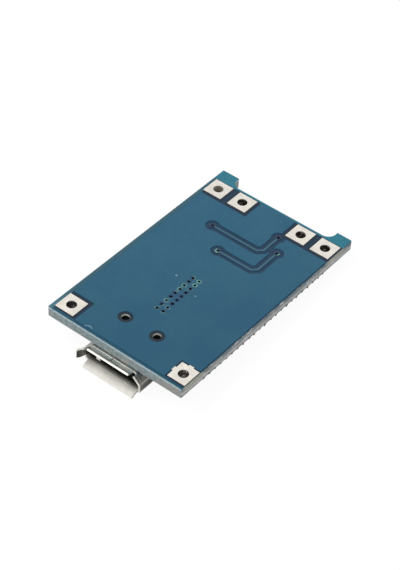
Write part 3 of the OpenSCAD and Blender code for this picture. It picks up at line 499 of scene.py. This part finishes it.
def clear_lens(name, colour):
    """Lamp resin: tinted and clear, with a few bubbles."""
    net = Net(name)
    clouds = net.noise(2.5, 2.0, 0.5)
    tone = net.shade(tint(colour), clouds, 0.92, 1.06)
    net.bump(clouds, 0.01)
    net.shader.inputs["Transmission Weight"].default_value = 0.35
    net.shader.inputs["IOR"].default_value = 1.5
    return net.finish(tone, net.smooth(clouds, 0.3, 0.7, 0.12, 0.2))


PAD = tinned_pad()
VIA = via_metal()
COPPER = coated_copper()
LAMINATE = laminate()
STEEL = steel_sheet()
GOLD = plain_metal("gold_flash", (222, 190, 120), 0.22, 0.34, seed=2.0)
LEAD = plain_metal("lead_tin", (205, 205, 202), 0.3, 0.45, seed=3.0)
SOLDER = plain_metal("solder", (215, 216, 214), 0.16, 0.3, grain=4.0, depth=0.02, seed=4.0)
CAP_METAL = plain_metal("cap_tin", (208, 207, 203), 0.32, 0.48, grain=12.0, seed=5.0)
INSULATOR = moulded("insulator_black", (17, 17, 18), 0.45, 0.58, specular=0.22, seed=1.0)
FIBRE = moulded("broken_fibre", (112, 106, 98), 0.7, 0.85, depth=0.02, specular=0.2, seed=6.0)
CHIP = moulded("chip_black", (38, 38, 40), 0.5, 0.66, depth=0.012, seed=2.0)
RESISTOR = moulded("resistor_black", (26, 26, 30), 0.22, 0.34, depth=0.004, specular=0.5, seed=3.0)
CAPACITOR = moulded("capacitor_tan", (168, 136, 100), 0.34, 0.48, depth=0.006, seed=4.0)
LAMP_WHITE = moulded("lamp_white", (226, 226, 214), 0.35, 0.5, depth=0.004, seed=5.0)
LENS_RED = clear_lens("lens_red", (226, 120, 96))
LENS_BLUE = clear_lens("lens_blue", (196, 210, 232))


def material_for(node):
    if node == "printed_board":
        return LAMINATE
    if node in ("back_copper", "front_copper"):
        return COPPER
    if node.startswith("pad_"):
        return PAD
    if node == "front_lands":
        return SOLDER
    if node.endswith("_vias"):
        return VIA
    if node == "socket_case":
        return STEEL
    if node == "socket_insulator":
        return INSULATOR
    if node.startswith("socket_contact"):
        return GOLD
    if node in ("charger_body", "protection_body", "switch_body"):
        return CHIP
    if node.endswith("_leads") or node.endswith("_slug"):
        return LEAD
    if node.endswith("_caps") or node.endswith("_terminals"):
        return CAP_METAL
    if "resistor" in node:
        return RESISTOR
    if "capacitor" in node:
        return CAPACITOR
    if node.endswith("lamp_base"):
        return LAMP_WHITE
    return LENS_RED if node.startswith("charging") else LENS_BLUE


for name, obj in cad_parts.items():
    obj.data.materials.clear()
    obj.data.materials.append(material_for(name))


# Pieces that the solids leave to the scene


def piece(name, bm, material):
    """Makes a mesh object from bm and lets it ride with the board."""
    bmesh.ops.recalc_face_normals(bm, faces=bm.faces)
    mesh = bpy.data.meshes.new(name)
    bm.to_mesh(mesh)
    bm.free()
    mesh.materials.append(material)
    obj = bpy.data.objects.new(name, mesh)
    bpy.context.scene.collection.objects.link(obj)
    for face in mesh.polygons:
        face.use_smooth = True
    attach(obj, "root")
    return obj


def fillet(bm, foot, out, width, reach, height, up=-1.0, rows=6, columns=8):
    """Solder that climbs a wall: concave in section and drawn in at both ends. foot is on the land at the
    wall, out points away from the wall over the land, and up is -1 under the board."""
    out = Vector((out[0], out[1], 0)).normalized()
    side = Vector((-out.y, out.x, 0))
    grid = []
    for c in range(columns + 1):
        s = -1 + 2 * c / columns
        full = math.sqrt(max(0.0, 1 - abs(s) ** 3 * 0.75))
        line = []
        for r in range(rows + 1):
            a = math.pi / 2 * r / rows
            line.append(
                foot + side * (s * width / 2 * (1 - 0.12 * (1 - math.cos(a))))
                + out * (reach * full * (1 - math.sin(a)))
                + Vector((0, 0, up * height * full * (1 - math.cos(a))))
            )
        line.append(foot + side * (s * width / 2))
        grid.append([bm.verts.new(at(*p)) for p in line])
    for c in range(columns):
        for r in range(rows + 1):
            bm.faces.new((grid[c][r], grid[c + 1][r], grid[c + 1][r + 1], grid[c][r + 1]))
        bm.faces.new((grid[c][rows + 1], grid[c + 1][rows + 1], grid[c + 1][0], grid[c][0]))
    bm.faces.new(grid[0])
    bm.faces.new(list(reversed(grid[-1])))


small_parts = ["charging_lamp", "full_lamp"] + [
    n[:-5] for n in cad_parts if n.endswith("_caps")
]
bm = bmesh.new()
for part in small_parts:
    ends = part + ("_terminals" if part.endswith("_lamp") else "_caps")
    lo, hi = board_box(ends)
    mid = (lo + hi) / 2
    tall = hi.z - lo.z
    if hi.y - lo.y > hi.x - lo.x:
        for way, y in ((-1, lo.y), (1, hi.y)):
            fillet(bm, Vector((mid.x, y, UNDER)), (0, way), hi.x - lo.x, 0.19, min(0.42, tall * 0.75))
    else:
        for way, x in ((-1, lo.x), (1, hi.x)):
            fillet(bm, Vector((x, mid.y, UNDER)), (way, 0), hi.y - lo.y, 0.19, min(0.42, tall * 0.75))
piece("small_part_solder", bm, SOLDER)


def row_places(count, pitch):
    return [(i - (count - 1) / 2) * pitch for i in range(count)]


bm = bmesh.new()
for chip, count, pitch, wide, tall, along_x in (
    ("charger", 4, 1.27, 0.42, 0.18, True),
    ("protection", 3, 0.95, 0.4, 0.13, True),
    ("switch", 4, 0.65, 0.25, 0.11, False),
):
    lo, hi = board_box(chip + "_leads")
    mid = (lo + hi) / 2
    for v in row_places(count, pitch):
        for way in (-1, 1):
            if along_x:
                foot, out = Vector((hi.x if way > 0 else lo.x, mid.y + v, UNDER)), (way, 0)
            else:
                foot, out = Vector((mid.x + v, hi.y if way > 0 else lo.y, UNDER)), (0, way)
            fillet(bm, foot, out, wide, 0.1, tall)
piece("chip_lead_solder", bm, SOLDER)

# Solder at the socket's feet and contact tails
bm = bmesh.new()
case_lo, case_hi = board_box("socket_case")
FOOT_L, FOOT_REACH = 1.1, 0.85
foot_mids = (0.8 + FOOT_L / 2, case_hi.y - 0.1 - FOOT_L / 2)
for way, tip in ((-1, case_lo.x), (1, case_hi.x)):
    for y in foot_mids:
        fillet(bm, Vector((tip, y, UNDER)), (way, 0), FOOT_L, 0.1, 0.2)
        for side in (-1, 1):
            foot = Vector((tip - way * FOOT_REACH / 2, y + side * FOOT_L / 2, UNDER))
            fillet(bm, foot, (0, side), FOOT_REACH * 0.9, 0.1, 0.18)
piece("case_foot_solder", bm, SOLDER)

bm = bmesh.new()
for i in range(1, 6):
    lo, hi = board_box(f"socket_contact_{i}")
    fillet(bm, Vector(((lo.x + hi.x) / 2, hi.y, UNDER)), (0, 1), hi.x - lo.x, 0.09, 0.12)
piece("contact_tail_solder", bm, SOLDER)


def broken_tooth(bm, x, y, way, wide, drop, rng, rings=5, sides=7):
    """A tuft of torn fibre under the board's long edge: wide at its root, ragged and pointed at its tip."""
    lean = rng.uniform(-0.08, 0.12)
    loops = []
    for r in range(rings):
        t = r / (rings - 1)
        size = (1 - t) ** 0.7 * 0.94 + 0.06
        loop = []
        for k in range(sides):
            a = 2 * math.pi * k / sides
            jag = rng.uniform(0.75, 1.1)
            px = x - way * 0.1 + min(0.09, 0.1 * size * jag) * math.cos(a)
            py = y + lean * t + wide / 2 * size * jag * math.sin(a)
            loop.append(bm.verts.new(at(px, py, -BOARD_T + 0.06 - (drop + 0.06) * t)))
        loops.append(loop)
    for lower, upper in zip(loops, loops[1:]):
        for k in range(sides):
            bm.faces.new((lower[k], lower[(k + 1) % sides], upper[(k + 1) % sides], upper[k]))
    bm.faces.new(loops[0])
    bm.faces.new(list(reversed(loops[-1])))


TOOTH_PITCH, TOOTH_FROM, TOOTH_TO = 0.89, 3.4, 24.4
for name, x, way in (("left_edge_fibre", 0.0, -1), ("right_edge_fibre", BOARD_W, 1)):
    rng = random.Random(name)
    bm = bmesh.new()
    for i in range(int((TOOTH_TO - TOOTH_FROM) / TOOTH_PITCH)):
        y = TOOTH_FROM + i * TOOTH_PITCH + rng.uniform(-0.08, 0.08)
        tall = 1.0 if i % 2 and y > 8.5 else 0.4
        broken_tooth(bm, x, y, way, rng.uniform(0.3, 0.5), tall * rng.uniform(0.16, 0.24), rng)
    piece(name, bm, FIBRE)

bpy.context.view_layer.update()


# Floor, light and camera


def rest_plane():
    """The plane that the part lies on: under the socket's wide lip and the switch chip's far edge."""
    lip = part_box("socket_case")[0]
    chip_lo, chip_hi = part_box("switch_body")
    a = Vector((0, at(0, -1.0).y, lip.z))
    b = Vector((0, chip_hi.y - 0.12 * MM, chip_lo.z))
    return a, math.atan2(b.z - a.z, b.y - a.y)


FLOOR_POINT, FLOOR_TILT = rest_plane()


def floor_material():
    net = Net("white_floor")
    tree = net.tree
    rays = net.add("ShaderNodeLightPath")
    seen = net.math("MAXIMUM", rays.outputs["Is Camera Ray"], rays.outputs["Is Transmission Ray"])
    tree.nodes.remove(net.shader)
    # Metal sees the floor as a plain pale one with the part's own shadow
    bounce = net.add("ShaderNodeBsdfDiffuse")
    bounce.inputs["Color"].default_value = (0.86, 0.86, 0.86, 1)
    soft = net.add("ShaderNodeBsdfDiffuse")
    soft.inputs["Color"].default_value = (0.12, 0.12, 0.12, 1)
    glow = net.add("ShaderNodeEmission")
    glow.inputs["Strength"].default_value = 0.92
    both = net.add("ShaderNodeAddShader")
    net.link(soft.outputs[0], both.inputs[0])
    net.link(glow.outputs[0], both.inputs[1])
    pick = net.add("ShaderNodeMixShader")
    net.link(seen, pick.inputs[0])
    net.link(bounce.outputs[0], pick.inputs[1])
    net.link(both.outputs[0], pick.inputs[2])
    # Seen from below, the floor isn't there
    clear = net.add("ShaderNodeBsdfTransparent")
    geometry = net.add("ShaderNodeNewGeometry")
    sided = net.add("ShaderNodeMixShader")
    net.link(geometry.outputs["Backfacing"], sided.inputs[0])
    net.link(pick.outputs[0], sided.inputs[1])
    net.link(clear.outputs[0], sided.inputs[2])
    net.link(sided.outputs[0], net.out.inputs["Surface"])
    return net.mat


bm = bmesh.new()
bmesh.ops.create_grid(bm, x_segments=8, y_segments=8, size=1.2)
floor_mesh = bpy.data.meshes.new("floor")
bm.to_mesh(floor_mesh)
bm.free()
floor_mesh.materials.append(floor_material())
floor = bpy.data.objects.new("floor", floor_mesh)
bpy.context.scene.collection.objects.link(floor)
floor.location = FLOOR_POINT
floor.rotation_euler = (FLOOR_TILT, 0, 0)

world = bpy.data.worlds.new("studio")
bpy.context.scene.world = world
world.use_nodes = True
tree = world.node_tree
tree.nodes.clear()
rays = tree.nodes.new("ShaderNodeLightPath")
glossy = tree.nodes.new("ShaderNodeMath")
glossy.operation = "MAXIMUM"
seen = tree.nodes.new("ShaderNodeMath")
seen.operation = "MAXIMUM"
tree.links.new(rays.outputs["Is Camera Ray"], glossy.inputs[0])
tree.links.new(rays.outputs["Is Glossy Ray"], glossy.inputs[1])
tree.links.new(glossy.outputs[0], seen.inputs[0])
tree.links.new(rays.outputs["Is Transmission Ray"], seen.inputs[1])
dim = tree.nodes.new("ShaderNodeBackground")
dim.inputs["Color"].default_value = (1, 1, 1, 1)
dim.inputs["Strength"].default_value = 0.55
white = tree.nodes.new("ShaderNodeBackground")
white.inputs["Color"].default_value = (1, 1, 1, 1)
white.inputs["Strength"].default_value = 1.0
pick = tree.nodes.new("ShaderNodeMixShader")
sky_out = tree.nodes.new("ShaderNodeOutputWorld")
tree.links.new(seen.outputs[0], pick.inputs[0])
tree.links.new(dim.outputs[0], pick.inputs[1])
tree.links.new(white.outputs[0], pick.inputs[2])
tree.links.new(pick.outputs[0], sky_out.inputs["Surface"])


def lamp(name, direction, distance, size, energy):
    light = bpy.data.lights.new(name, "AREA")
    light.shape = "SQUARE"
    light.size = size
    light.energy = energy
    obj = bpy.data.objects.new(name, light)
    bpy.context.scene.collection.objects.link(obj)
    aim = Vector(direction).normalized()
    obj.location = aim * distance
    obj.rotation_mode = "QUATERNION"
    obj.rotation_quaternion = aim.to_track_quat("Z", "Y")
    return obj


lamp("key", (-0.55, -0.55, 1.0), 0.35, 0.22, 0.42)
lamp("fill", (0.9, -0.3, 0.8), 0.35, 0.25, 0.16)

camera = bpy.data.cameras.new("camera")
camera_obj = bpy.data.objects.new("camera", camera)
bpy.context.scene.collection.objects.link(camera_obj)
bpy.context.scene.camera = camera_obj
camera.sensor_width = 36
camera.lens = 109.49
camera.clip_start, camera.clip_end = 0.01, 10
forward = Vector((-0.42053, 0.59171, -0.68777)).normalized()
up = Vector((-0.46070, 0.51379, 0.72372))
right = forward.cross(up).normalized()
up = right.cross(forward)
turn = Matrix((right, up, -forward)).transposed()
camera_obj.matrix_world = Matrix.Translation(at(82.04, -90.01, 118.92)) @ turn.to_4x4()

bpy.context.scene.view_settings.view_transform = "Standard"
